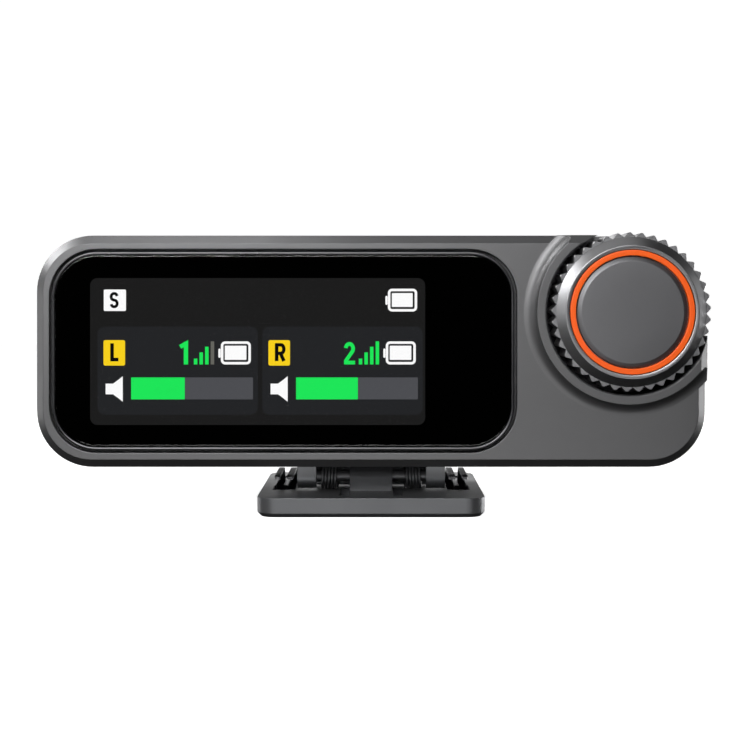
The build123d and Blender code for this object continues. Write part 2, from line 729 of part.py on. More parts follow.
with BuildPart() as clip_foot:
    with BuildSketch(Plane.XY) as foot_plan:
        Rectangle(foot_width, foot_depth)
        fillet(foot_plan.vertices().filter_by(lambda v: v.Y < 0), foot_front_radius)
        fillet(foot_plan.vertices().filter_by(lambda v: v.Y > 1), foot_rear_radius)
    extrude(amount=foot_thickness)
    chamfer(clip_foot.faces().sort_by(Axis.Z)[0].edges(), foot_edge_bevel)
    # knuckle round the pin, with a flat heel that stops against the bracket
    with BuildSketch(across(-knuckle_half)):
        with BuildLine():
            Polyline((hinge_y, hinge_z + knuckle_r), (knuckle_back, hinge_z + knuckle_r),
                     (knuckle_back, knuckle_root), (hinge_y - knuckle_r, knuckle_root),
                     (hinge_y - knuckle_r, hinge_z))
            CenterArc((hinge_y, hinge_z), knuckle_r, 90, 90)
        make_face()
    extrude(amount=2 * knuckle_half)
    with BuildSketch(across(-knuckle_half)):
        with Locations((hinge_y, hinge_z)):
            Circle(pin_r)
    extrude(amount=2 * knuckle_half, mode=Mode.SUBTRACT)
    # holes for the torsion springs' lower legs
    with BuildSketch(Plane.XY.offset(foot_thickness)):
        with Locations((-leg_hole_x, leg_hole_y), (leg_hole_x, leg_hole_y)):
            Circle(wire_d / 2 + 0.02)
    extrude(amount=leg_bottom - foot_thickness, mode=Mode.SUBTRACT)
    # open pockets beside the knuckle, in front of the springs
    with BuildSketch(Plane.XY.offset(foot_thickness)):
        for side in (-1, 1):
            with Locations((side * (pocket_in + pocket_out) / 2, (pocket_front + pocket_back) / 2)):
                Rectangle(pocket_out - pocket_in, pocket_back - pocket_front)
    extrude(amount=-pocket_depth, mode=Mode.SUBTRACT)
    # pockets for the two leaf springs
    for side in (-1, 1):
        with BuildSketch(Plane.XY.offset(foot_thickness)):
            with Locations((side * spring_mid, (spring_slot_front + spring_slot_mid) / 2)):
                Rectangle(spring_right - spring_left, spring_slot_mid - spring_slot_front)
            for band_in, band_out in finger_bands:
                with Locations((side * (band_in + band_out) / 2, finger_mid)):
                    Rectangle(band_out - band_in + 0.16, spring_root_front - spring_slot_front)
        extrude(amount=-spring_slot_depth, mode=Mode.SUBTRACT)
        with BuildSketch(Plane.XY.offset(foot_thickness)):
            with Locations((side * spring_mid, root_mid)):
                Rectangle(spring_right - spring_left, spring_root_back - spring_root_front)
        extrude(amount=-spring_root_depth, mode=Mode.SUBTRACT)
finish(clip_foot, "clip_foot")

with BuildPart() as hinge_pin:
    with BuildSketch(across(-cheek_outer)):
        with Locations((hinge_y, hinge_z)):
            Circle(pin_r)
    extrude(amount=2 * cheek_outer)
    chamfer(hinge_pin.edges().filter_by(GeomType.CIRCLE), 0.08)
finish(hinge_pin, "hinge_pin")

# leaf springs: a root strip across the back and two fingers that rise and run forward above the plate
leaf_thickness = 0.22
leaf_top = 2.75
root_z = foot_thickness - spring_root_depth
for side, leaf_name in ((-1, "shoe_spring_left"), (1, "shoe_spring_right")):
    with BuildPart() as leaf_spring:
        with BuildSketch(Plane.XY.offset(root_z)):
            with Locations((side * spring_mid, root_mid)):
                Rectangle(spring_right - spring_left - 0.1, spring_root_back - spring_root_front - 0.1)
        extrude(amount=leaf_thickness)
        for band_in, band_out in finger_bands:
            middle = root_z + leaf_thickness / 2
            with BuildSketch(across(side * band_in)):
                with BuildLine():
                    run = FilletPolyline((spring_root_front + 0.4, middle), (spring_root_front - 0.3, middle),
                                         (2.9, leaf_top - leaf_thickness / 2),
                                         (-3.7, leaf_top - leaf_thickness / 2), radius=0.5)
                    offset(run, amount=leaf_thickness / 2, side=Side.BOTH)
                make_face()
            extrude(amount=side * (band_out - band_in))
    finish(leaf_spring, leaf_name)

# torsion springs round the pin: one leg goes down into the plate, the other stops under the bracket
coil_turns = 5
coil_pitch = (coil_outer_x - coil_inner_x - wire_d) / coil_turns
coil_plane = Plane(origin=(coil_inner_x + wire_d / 2, hinge_y, hinge_z), x_dir=(0, 1, 0), z_dir=(1, 0, 0))
coil_path = coil_plane * Helix(coil_pitch, coil_pitch * coil_turns, coil_r)

with BuildPart() as clip_spring_right:
    with BuildSketch(Plane(origin=coil_path @ 0, z_dir=coil_path % 0)):
        Circle(wire_d / 2)
    sweep(path=coil_path, is_frenet=True)
    with BuildSketch(Plane.XY.offset(leg_bottom)):
        with Locations(((coil_path @ 0).X, leg_hole_y)):
            Circle(leg_r)
    extrude(amount=hinge_z + leg_overlap - leg_bottom)
    with BuildSketch(Plane.XY.offset(leg_top)):
        with Locations(((coil_path @ 1).X, leg_hole_y)):
            Circle(leg_r)
    extrude(amount=hinge_z - leg_overlap - leg_top)
finish(clip_spring_right, "clip_spring_right")

with BuildPart() as clip_spring_left:
    add(mirror(clip_spring_right.part, about=Plane.YZ))
finish(clip_spring_left, "clip_spring_left")
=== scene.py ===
"""Looks of a pocket receiver for wireless microphones: lit display, knurled dial, sprung clip foot.

It is laid out as an add-on and run as a script. The frame gives every place and size, in metres; +X is right,
+Y is to the back and +Z is up, and the origin is the centre of the foot's underside.
"""

import json

import bmesh
import bpy
import numpy as np
from bpy.props import FloatProperty, FloatVectorProperty, IntProperty, PointerProperty
from bpy.types import Operator, Panel, PropertyGroup
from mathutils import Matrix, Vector


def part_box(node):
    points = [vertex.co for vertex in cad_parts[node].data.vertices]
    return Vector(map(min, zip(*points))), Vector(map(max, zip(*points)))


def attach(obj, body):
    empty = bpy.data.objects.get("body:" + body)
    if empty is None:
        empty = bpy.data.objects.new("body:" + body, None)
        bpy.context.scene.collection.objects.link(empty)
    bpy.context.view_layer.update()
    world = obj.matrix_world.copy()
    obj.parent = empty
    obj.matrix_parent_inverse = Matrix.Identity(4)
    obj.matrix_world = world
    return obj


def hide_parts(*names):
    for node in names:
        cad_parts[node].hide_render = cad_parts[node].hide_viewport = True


bl_info = {
    "name": "Pocket Receiver Looks",
    "version": (1, 0, 0),
    "blender": (4, 5, 0),
    "location": "View3D > Sidebar > Receiver",
    "description": "Builds the visible pieces and finishes of a pocket microphone receiver round its "
                   "CAD frame",
    "category": "Add Mesh",
}

MM = 0.001
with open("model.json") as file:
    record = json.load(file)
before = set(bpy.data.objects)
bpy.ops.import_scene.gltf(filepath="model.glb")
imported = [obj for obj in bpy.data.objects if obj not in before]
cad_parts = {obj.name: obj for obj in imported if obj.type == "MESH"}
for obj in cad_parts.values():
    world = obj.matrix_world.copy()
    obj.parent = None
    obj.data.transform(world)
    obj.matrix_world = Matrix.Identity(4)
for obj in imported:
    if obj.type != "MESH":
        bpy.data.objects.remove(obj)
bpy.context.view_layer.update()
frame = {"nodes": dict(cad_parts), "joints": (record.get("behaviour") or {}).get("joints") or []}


# ---------------------------------------------------------------- colours and nodes
def linear(code):
    """Linear RGBA of an sRGB hex colour: ((c + 0.055) / 1.055) ^ 2.4 for each channel c, or c / 12.92 if
    dark."""
    srgb = np.array([int(code[i:i + 2], 16) for i in (1, 3, 5)]) / 255
    curve = np.where(srgb <= 0.04045, srgb / 12.92, ((srgb + 0.055) / 1.055) ** 2.4)
    return (*curve.tolist(), 1.0)


def add(tree, kind, inputs=None, **settings):
    """Adds a node, sets its settings and its sockets, and links each socket that is given another node's
    output."""
    node = tree.nodes.new(kind)
    for name, value in settings.items():
        setattr(node, name, value)
    for socket, value in (inputs or {}).items():
        if isinstance(value, bpy.types.NodeSocket):
            tree.links.new(value, node.inputs[socket])
        else:
            node.inputs[socket].default_value = value
    return node


def surface(name, light, dark, roughness, grain, depth, cloud=5.0, swing=0.05, edge=0.0, **sockets):
    """A finished surface. Its tone drifts between two close colours over cloud mm, its roughness drifts by
    swing with it, and a grain of that size and depth, in mm, breaks up its shine. edge rounds its corners
    to the eye."""
    material = bpy.data.materials.new(name)
    material.use_nodes = True
    tree = material.node_tree
    tree.nodes.clear()
    place = add(tree, "ShaderNodeTexCoord").outputs["Object"]
    drift = add(tree, "ShaderNodeTexNoise", {"Vector": place, "Scale": 1 / (cloud * MM), "Detail": 4.0})
    tone = add(tree, "ShaderNodeMix", {0: drift.outputs[0], 6: light, 7: dark}, data_type="RGBA")
    shine = add(tree, "ShaderNodeMapRange", {"Value": drift.outputs[0], "From Min": 0.3, "From Max": 0.7,
                                             "To Min": roughness - swing, "To Max": roughness + swing})
    speck = add(tree, "ShaderNodeTexNoise", {"Vector": place, "Scale": 1 / (grain * MM), "Detail": 2.0})
    relief = add(tree, "ShaderNodeBump", {"Height": speck.outputs[0], "Distance": depth * MM,
                                          "Strength": 1.0})
    if edge:
        soft = add(tree, "ShaderNodeBevel", {"Radius": edge * MM}, samples=6)
        tree.links.new(soft.outputs[0], relief.inputs["Normal"])
    names = {socket.replace("_", " ").title().replace("Ior", "IOR"): value
             for socket, value in sockets.items()}
    shader = add(tree, "ShaderNodeBsdfPrincipled", {
        "Base Color": tone.outputs[2], "Roughness": shine.outputs[0], "Normal": relief.outputs[0], **names})
    add(tree, "ShaderNodeOutputMaterial", {"Surface": shader.outputs[0]})
    return material


def lit(name, colour, strength, pitch):
    """A lit mark on the display: even light, broken very faintly by the panel's dot rows, pitch mm apart. A
    wave of the texture is 0.314 long at a scale of 1."""
    material = bpy.data.materials.new(name)
    material.use_nodes = True
    tree = material.node_tree
    tree.nodes.clear()
    place = add(tree, "ShaderNodeTexCoord").outputs["Object"]
    rows = add(tree, "ShaderNodeTexWave", {"Vector": place, "Scale": 0.314 / (pitch * MM)},
               bands_direction="Z")
    level = add(tree, "ShaderNodeMapRange", {"Value": rows.outputs[1], "To Min": strength * 0.97,
                                             "To Max": strength * 1.03})
    shader = add(tree, "ShaderNodeBsdfPrincipled", {
        "Base Color": linear("#010101"), "Roughness": 0.5, "Specular IOR Level": 0.0,
        "Emission Color": colour, "Emission Strength": level.outputs[0]})
    add(tree, "ShaderNodeOutputMaterial", {"Surface": shader.outputs[0]})
    return material


def paint(material, *nodes):
    """Puts a material in every slot of these CAD nodes."""
    for node in nodes:
        for slot in frame["nodes"][node].material_slots:
            slot.material = material


# ---------------------------------------------------------------- surfaces
def grid(points, close_rows=False, caps=False):
    """Quads over a grid of points, rows by columns. Each row is a closed ring. The last row joins the first
    if close_rows is true, and with caps the first and last rings are each closed by one face."""
    rows, columns = points.shape[:2]
    index = np.arange(rows * columns).reshape(rows, columns)
    below, beside = np.roll(index, -1, 0), np.roll(index, -1, 1)
    quads = np.stack([index, beside, np.roll(below, -1, 1), below], -1)
    blocks = [(quads if close_rows else quads[:-1]).reshape(-1, 4)]
    if caps:
        blocks += [index[:1, ::-1], index[-1:]]
    return points.reshape(-1, 3), blocks


def build(name, parts, material, body, replaced=(), sharp=30.0):
    """Joins surfaces into one piece, turns its faces outwards, keeps edges over the sharp angle (degrees)
    crisp, puts it on the body it rides, hides the CAD nodes it stands for and gives it the material in one
    slot."""
    starts = np.cumsum([0] + [len(points) for points, _ in parts])
    faces = [face for start, (_, blocks) in zip(starts, parts)
             for block in blocks for face in (block + start).tolist()]
    mesh = bpy.data.meshes.new(name)
    mesh.from_pydata(np.concatenate([points for points, _ in parts]).tolist(), [], faces)
    shell = bmesh.new()
    shell.from_mesh(mesh)
    bmesh.ops.recalc_face_normals(shell, faces=shell.faces)
    shell.to_mesh(mesh)
    shell.free()
    mesh.shade_smooth()
    mesh.set_sharp_from_angle(angle=np.radians(sharp))
    mesh.materials.append(material)
    piece = bpy.data.objects.new(name, mesh)
    bpy.context.scene.collection.objects.link(piece)
    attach(piece, body)
    if replaced:
        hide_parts(*replaced)
    return piece


def lathe(radii, depths, angles, centre, **ends):
    """A profile turned round an axis along Y: x = centre x + r cos a, y = depth, z = centre z + r sin a. A
    radius may also change with the angle, which is what makes the teeth of a knurled rim."""
    radii, depths, turn = np.broadcast_arrays(radii, np.asarray(depths)[:, None], angles)
    return grid(np.stack([centre[0] + radii * np.cos(turn), depths, centre[2] + radii * np.sin(turn)], -1),
                **ends)


def rounded(left, right, bottom, top, corner, steps=10):
    """Outline of a rectangle with round corners, as x and z: each corner's centre plus the radius times
    (cos a, sin a) over a quarter turn."""
    turn = np.linspace(0, np.pi / 2, steps)
    centres = [(right - corner, top - corner), (left + corner, top - corner),
               (left + corner, bottom + corner), (right - corner, bottom + corner)]
    arcs = [np.array(centre) + corner * np.stack([np.cos(turn + k * np.pi / 2),
                                                  np.sin(turn + k * np.pi / 2)], -1)
            for k, centre in enumerate(centres)]
    return np.concatenate(arcs)


def upright(outlines, depths):
    """Rings of x and z points, one for each depth y, as a grid of points."""
    rings = np.broadcast_to(np.asarray(outlines), (len(depths), *np.shape(outlines)[-2:]))
    deep = np.broadcast_to(np.asarray(depths)[:, None], rings.shape[:2])
    return np.stack([rings[..., 0], deep, rings[..., 1]], -1)


def plate(outline, front, back):
    """A flat plate with this outline between two depths."""
    return grid(upright(outline, [back, front]), caps=True)


def stroke(path, width, front, back, closed=False):
    """A flat ribbon of even width along a path of x and z points: each point moves sideways by half the width
    along its mitre, the mean of its two segments' normals divided by the cosine of half the turn."""
    path = np.asarray(path, float)
    step = np.diff(path, axis=0, append=path[:1])
    step /= np.linalg.norm(step, axis=1, keepdims=True)
    normal = np.stack([-step[:, 1], step[:, 0]], -1)
    before = np.roll(normal, 1, 0)
    if not closed:
        normal[-1], before[0] = before[-1], normal[0]
    mitre = normal + before
    mitre /= (mitre * normal).sum(1, keepdims=True)
    sides = [path + mitre * width / 2, path - mitre * width / 2]
    corners = [np.insert(side, 1, depth, axis=1) for side, depth in
               zip((sides[0], sides[1], sides[1], sides[0]), (front, front, back, back))]
    return grid(np.stack(corners, 1), close_rows=closed, caps=not closed)


def fillet(start, corner, end, radius, steps=6):
    """Points of a round corner between two runs of a profile: a quadratic curve whose legs are radius
    long."""
    start, corner, end = (np.asarray(point, float) for point in (start, corner, end))
    first = corner + (start - corner) / np.linalg.norm(start - corner) * radius
    last = corner + (end - corner) / np.linalg.norm(end - corner) * radius
    t = np.linspace(0, 1, steps)[:, None]
    return (1 - t) ** 2 * first + 2 * t * (1 - t) * corner + t ** 2 * last


def smoothed(corners, radius, steps=6):
    """A closed profile through these corners, each rounded to the same small radius."""
    corners = np.asarray(corners, float)
    rounds = zip(np.roll(corners, 1, 0), corners, np.roll(corners, -1, 0))
    return np.concatenate([fillet(*three, radius, steps) for three in rounds])


# ---------------------------------------------------------------- settings
class ReceiverFinish(PropertyGroup):
    """Colours of the parts that a buyer sees."""

    housing: FloatVectorProperty(
        name="Housing", description="Metallic paint of the body", subtype="COLOR", size=4, min=0, max=1,
        default=linear("#6f6f70"))
    cover: FloatVectorProperty(
        name="Rear cover", description="Moulded plastic of the rear cover", subtype="COLOR", size=4, min=0,
        max=1, default=linear("#2b2b2c"))
    dial: FloatVectorProperty(
        name="Dial", description="Anodised aluminium of the dial", subtype="COLOR", size=4, min=0, max=1,
        default=linear("#a4a4a6"))
    accent: FloatVectorProperty(
        name="Accent", description="Anodised ring in the dial's face", subtype="COLOR", size=4, min=0, max=1,
        default=linear("#ff680c"))
    foot: FloatVectorProperty(
        name="Foot", description="Coating of the clip foot and its bracket", subtype="COLOR", size=4, min=0,
        max=1, default=linear("#6e6f71"))
    signal: FloatVectorProperty(
        name="Signal", description="Colour of the meters and numbers on the display", subtype="COLOR", size=4,
        min=0, max=1, default=linear("#1fe85a"))
    badge: FloatVectorProperty(
        name="Badge", description="Colour of the channel badges on the display", subtype="COLOR", size=4,
        min=0, max=1, default=linear("#fad31e"))


class ReceiverDial(PropertyGroup):
    """Sizes of the knurled dial that its outer box doesn't give."""

    teeth: IntProperty(name="Teeth", description="Teeth round the rim", default=41, min=12, max=90)
    tooth_depth: FloatProperty(
        name="Tooth depth", description="From a tooth's tip to the valley beside it", default=0.39 * MM,
        min=0.05 * MM, max=1 * MM, precision=5, unit="LENGTH")
    tip_share: FloatProperty(
        name="Tip share", description="Part of each tooth's pitch that its flat tip takes", default=0.12,
        min=0, max=0.6, subtype="FACTOR")
    bevel: FloatProperty(
        name="Face bevel", description="Depth of the bevel round the dial's face", default=0.68 * MM,
        min=0.1 * MM, max=2 * MM, precision=5, unit="LENGTH")
    edge: FloatProperty(
        name="Edge radius", description="Rounding of the dial's turned edges", default=0.05 * MM,
        min=0.01 * MM, max=0.2 * MM, precision=5, unit="LENGTH")


class ReceiverScreen(PropertyGroup):
    """Where the lit screen lies behind the cover glass."""

    left_margin: FloatProperty(
        name="Left margin", description="From the glass's left edge to the screen", default=2.71 * MM,
        min=0, max=10 * MM, precision=5, unit="LENGTH")
    top_margin: FloatProperty(
        name="Top margin", description="From the glass's top edge to the screen", default=1.85 * MM,
        min=0, max=10 * MM, precision=5, unit="LENGTH")
    left_level: FloatProperty(
        name="Left level", description="Part of the left meter that is lit", default=0.44, min=0, max=1,
        subtype="FACTOR")
    right_level: FloatProperty(
        name="Right level", description="Part of the right meter that is lit", default=0.507, min=0, max=1,
        subtype="FACTOR")
    brightness: FloatProperty(
        name="Brightness", description="Strength of the display's light", default=1.06, min=0, max=10)


class ReceiverStage(PropertyGroup):
    """Camera and light."""

    lens: FloatProperty(
        name="Lens", description="Focal length", default=74.7, min=20, max=300, unit="CAMERA")
    distance: FloatProperty(
        name="Distance", description="From the camera to the dial's axis plane", default=135 * MM,
        min=50 * MM, max=1, unit="LENGTH")
    height: FloatProperty(
        name="Height", description="Height of the camera, which looks level", default=17.56 * MM, min=0,
        max=1, unit="LENGTH")
    side: FloatProperty(
        name="Side", description="How far right of the middle the camera stands", default=0.41 * MM, min=-1,
        max=1, unit="LENGTH")
    drop: FloatProperty(
        name="Drop", description="Vertical shift of the lens", default=-0.1, min=-0.5, max=0.5)
    front: FloatProperty(
        name="Front light", description="Power of the two high softboxes in front, together", default=0.205,
        min=0, max=100, unit="POWER")
    over: FloatProperty(
        name="Overhead light", description="Power of the gridded softbox over the left shoulder",
        default=0.0105, min=0, max=100, unit="POWER")
    rear: FloatProperty(
        name="Rear light", description="Power that scales the three softboxes behind", default=0.12,
        min=0, max=100, unit="POWER")
    fill: FloatProperty(
        name="Fill light", description="Power that scales the small softboxes that fill the shadows",
        default=0.0095, min=0, max=100, unit="POWER")


# ---------------------------------------------------------------- casing
class RECEIVER_OT_casing(Operator):
    """Finish the housing, rear cover, seal, screws and charging contacts"""

    bl_idname = "receiver.casing"
    bl_label = "Casing"

    def execute(self, context):
        tint = context.scene.receiver_finish
        # sprayed metallic paint on die-cast alloy: an even satin grey with a faint sparkle. Its flakes are
        # finer than a tenth of a millimetre, and are drawn at twice that so that they show
        paint(surface("metallic_paint_sprayed", tint.housing, linear("#686869"), 0.46, grain=0.16,
                      depth=0.0012, edge=0.1, metallic=0.8, specular_ior_level=0.4), "front_housing")
        # spark-eroded polycarbonate, moulded: dark, matte, with an even fine pitted texture
        paint(surface("polycarbonate_spark_eroded", tint.cover, linear("#242425"), 0.62, grain=0.22,
                      depth=0.012, ior=1.58), "rear_cover")
        # silicone rubber, moulded: black and soft-looking
        paint(surface("silicone_moulded", linear("#161616"), linear("#101010"), 0.75, grain=0.3, depth=0.006),
              "seam_gasket")
        # black zinc plating on steel: dark with a dull sheen
        paint(surface("steel_black_zinc_plated", linear("#3a3a3c"), linear("#2a2a2c"), 0.38, grain=0.1,
                      depth=0.003, metallic=1.0, cloud=1.0), "housing_screws", "bracket_screws")
        # hard gold plating on brass: warm and bright, with faint wiping marks
        paint(surface("brass_gold_plated", linear("#e8bd66"), linear("#d6a850"), 0.24, grain=0.12,
                      depth=0.001, metallic=1.0, cloud=0.8, swing=0.08), "charging_contacts")
        return {"FINISHED"}


class RECEIVER_OT_ports(Operator):
    """Finish the sockets, power button and status light"""

    bl_idname = "receiver.ports"
    bl_label = "Sockets and Button"

    def execute(self, context):
        # nickel-plated steel, deep drawn: bright, with drawing marks
        paint(surface("steel_nickel_plated", linear("#b9b7b2"), linear("#a5a39e"), 0.28, grain=0.14,
                      depth=0.0015, metallic=1.0, cloud=1.6, swing=0.07), "usb_socket")
        # glass-filled nylon, moulded: black, slightly mottled
        paint(surface("nylon_glass_filled", linear("#1b1b1c"), linear("#131314"), 0.5, grain=0.12,
                      depth=0.003, cloud=1.2, ior=1.53), "line_out_jack", "monitor_jack")
        # soft-touch coated ABS: matte, with a velvety fine grain
        paint(surface("abs_soft_touch", linear("#2a2a2b"), linear("#222223"), 0.66, grain=0.2, depth=0.008,
                      sheen_weight=0.08), "power_button")
        # clear polycarbonate light pipe, moulded: pale and glossy
        paint(surface("polycarbonate_light_pipe", linear("#cfd6cf"), linear("#bcc4bd"), 0.2, grain=0.3,
                      depth=0.001, ior=1.58, transmission_weight=0.4), "status_light")
        return {"FINISHED"}


# ---------------------------------------------------------------- display
class RECEIVER_OT_glass(Operator):
    """Build the cover glass and the bright trim ring round it"""

    bl_idname = "receiver.glass"
    bl_label = "Cover Glass and Trim"

    def execute(self, context):
        low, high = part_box("cover_glass")
        corner, edge = 3.33 * MM, 0.12 * MM
        turn = np.linspace(0, np.pi / 2, 6)
        # the last ring lies in the flat front, so that the rounded edge doesn't bend the front's shading
        inset = np.concatenate([[0.05 * MM, 0], edge * (1 - np.cos(turn)), [2 * edge]])
        depth = np.concatenate([[high.y, high.y - 0.05 * MM], low.y + edge * (1 - np.sin(turn)), [low.y]])
        rings = [rounded(low.x + i, high.x - i, low.z + i, high.z - i, corner - i, 24) for i in inset]
        # toughened glass with an anti-reflection coat: clear and almost without shine, so what lies behind is
        # black
        coat = surface("glass_toughened_ar_coated", linear("#ffffff"), linear("#fcfcfd"), 0.03, grain=2.0,
                       depth=0.00002, swing=0.01, ior=1.5, transmission_weight=1.0, specular_ior_level=0.06)
        build("cover_glass_polished", [grid(upright(rings, depth), caps=True)], coat, "receiver",
              ["cover_glass"])

        low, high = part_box("trim_ring")
        width = 0.25 * MM
        # half-round crest on a straight wall: out = width (1 - cos a) / 2 and rise = crest sin a over half a
        # turn
        arch = np.linspace(0, np.pi, 11)
        crest = 0.09 * MM
        out = np.concatenate([width * (1 - np.cos(arch)) / 2, [width, 0]])
        rise = np.concatenate([low.y + crest * (1 - np.sin(arch)), [high.y, high.y]])
        rings = [rounded(low.x + width - o, high.x - width + o, low.z + width - o, high.z - width + o,
                         corner + o, 24) for o in out]
        # aluminium, diamond cut: a thin bright line all round
        cut = surface("aluminium_diamond_cut", linear("#5c5c5e"), linear("#565658"), 0.3, grain=0.1,
                      depth=0.0004, metallic=1.0)
        build("trim_ring_cut", [grid(upright(rings, rise), close_rows=True)], cut, "receiver", ["trim_ring"])
        # black ceramic ink, screen printed: dead matte
        paint(surface("ceramic_ink_printed", linear("#030303"), linear("#020202"), 0.8, grain=0.1,
                      depth=0.001, specular_ior_level=0.05), "mask_frame")
        return {"FINISHED"}


class RECEIVER_OT_marks(Operator):
    """Build the lit tiles, badges, numbers, meters and battery signs of the display"""

    bl_idname = "receiver.marks"
    bl_label = "Display Marks"

    def execute(self, context):
        tint, screen = context.scene.receiver_finish, context.scene.receiver_screen
        glass_low, glass_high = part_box("cover_glass")
        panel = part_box("display_panel")[0].y
        left, top = glass_low.x + screen.left_margin, glass_high.z - screen.top_margin
        layer = 0.02 * MM
        # dot rows of the real panel are finer; this is as fine as shows
        pitch = 0.09
        # the right channel repeats the left one this many mm further right
        channel_step = 13.31

        def at(u, v):
            """Place of a point u mm right of the screen's left edge and v mm below its top edge."""
            return np.stack(np.broadcast_arrays(left + np.asarray(u) * MM, top - np.asarray(v) * MM), -1)

        def flat(points, level):
            return plate(points, panel - (level + 1) * layer, panel - (level + 0.2) * layer)

        def block(u0, u1, v0, v1, corner, level):
            low, high = at(u0, v1), at(u1, v0)
            return flat(rounded(low[0], high[0], low[1], high[1], corner * MM, 5), level)

        def line(points, width, level, closed=False):
            return stroke(points, width * MM, panel - (level + 1) * layer, panel - (level + 0.2) * layer,
                          closed)

        def arc(u, v, wide, high, start, stop, steps=12):
            """Part of an ellipse, from one angle to another in degrees, anticlockwise from the right."""
            turn = np.radians(np.linspace(start, stop, steps))
            return at(u + wide * np.cos(turn), v - high * np.sin(turn))

        def battery(u, v, wide, high):
            """A battery sign: nub at the left, outline, and a full inner block."""
            low, high_corner = at(u + 0.1, v + high - 0.1), at(u + wide - 0.1, v + 0.1)
            ring = rounded(low[0], high_corner[0], low[1], high_corner[1], 0.24 * MM, 6)
            return [line(ring, 0.2, 2, closed=True),
                    block(u + 0.32, u + wide - 0.36, v + 0.35, v + high - 0.37, 0.04, 2),
                    block(u - 0.2, u - 0.02, v + 0.58, v + high - 0.54, 0.08, 2)]

        tiles, white, yellow, green, grey, faint, black = [], [], [], [], [], [], []
        white.append(block(1.11, 2.90, 0.925, 2.655, 0.1, 2))
        # letter S: an upper bowl turned anticlockwise and a lower bowl turned clockwise, joined at the middle
        bowl = 0.27
        black.append(line(np.concatenate([arc(1.955, 1.78 - bowl, 0.245, bowl, 12, 262, 16),
                                          arc(1.955, 1.78 + bowl, 0.245, bowl, 82, -168, 16)]), 0.23, 4))
        white += battery(24.04, 0.86, 2.36, 1.84)
        for channel, level in ((0, screen.left_level), (1, screen.right_level)):
            u = channel_step * channel
            tiles.append(block(0.60 + u, 13.54 + u, 3.92, 11.03, 0.57, 0))
            yellow.append(block(1.09 + u, 2.83 + u, 5.01, 7.06, 0.14, 2))
            white += battery(10.56 + u, 5.11, 2.42, 1.86)
            white.append(flat(at(np.array([1.26, 1.86, 2.35, 2.64, 2.64, 2.35, 1.86, 1.26]) + u,
                                 np.array([8.52, 8.52, 8.16, 7.92, 9.98, 9.74, 9.38, 9.38])), 2))
            for k, bar_top in enumerate((6.50, 6.00, 5.54, 5.11)):
                bars = faint if (channel, k) == (0, 3) else green
                bars.append(block(8.38 + 0.453 * k + u, 8.66 + 0.453 * k + u, bar_top, 6.97, 0.02, 2))
            lit_end = 3.32 + 9.83 * level + u
            green.append(block(3.32 + u, lit_end, 8.02, 9.79, 0.03, 2))
            grey.append(block(lit_end + 0.01, 13.15 + u, 8.02, 9.79, 0.08, 2))
        # letter L and number 1
        black.append(line(at([1.785, 1.785, 2.30], [5.26, 6.575, 6.575]), 0.29, 4))
        green.append(line(at([7.27, 7.74, 7.74], [5.55, 5.30, 6.97]), 0.35, 2))
        green.append(block(7.57, 7.92, 5.15, 5.6, 0.02, 2))
        # letter R: stem, bowl and leg; number 2: hook, diagonal and base
        u = channel_step
        black.append(line(at([1.755 + u, 1.755 + u], [6.70, 5.26]), 0.29, 4))
        black.append(line(np.concatenate([at([1.70 + u], [5.385]),
                                          arc(2.10 + u, 5.73, 0.235, 0.345, 90, -90, 10),
                                          at([1.70 + u], [6.075])]), 0.28, 4))
        black.append(line(at([2.06 + u, 2.34 + u], [6.05, 6.70]), 0.29, 4))
        green.append(line(np.concatenate([arc(7.625 + u, 5.70, 0.30, 0.39, 172, -28, 12),
                                          at([7.34 + u, 7.34 + u], [6.68, 6.81])]), 0.30, 2))
        green.append(block(7.19 + u, 8.08 + u, 6.67, 6.97, 0.02, 2))

        bright = screen.brightness
        # organic display, lit: crisp marks of even light, with dot rows that barely show
        shades = [("display_tiles", tiles, linear("#242527")),
                  ("display_white_marks", white, linear("#ffffff")), ("display_badges", yellow, tint.badge),
                  ("display_green_marks", green, tint.signal),
                  ("display_grey_marks", grey, linear("#4e4f53")),
                  ("display_faint_bar", faint, linear("#666660")),
                  ("display_letters", black, linear("#0c0c0c"))]
        for name, parts, colour in shades:
            build(name, parts, lit(f"lit_{name[8:]}", colour, bright, pitch), "receiver")
        paint(lit("lit_panel_ground", linear("#1d1d1d"), bright, pitch), "display_panel")
        return {"FINISHED"}


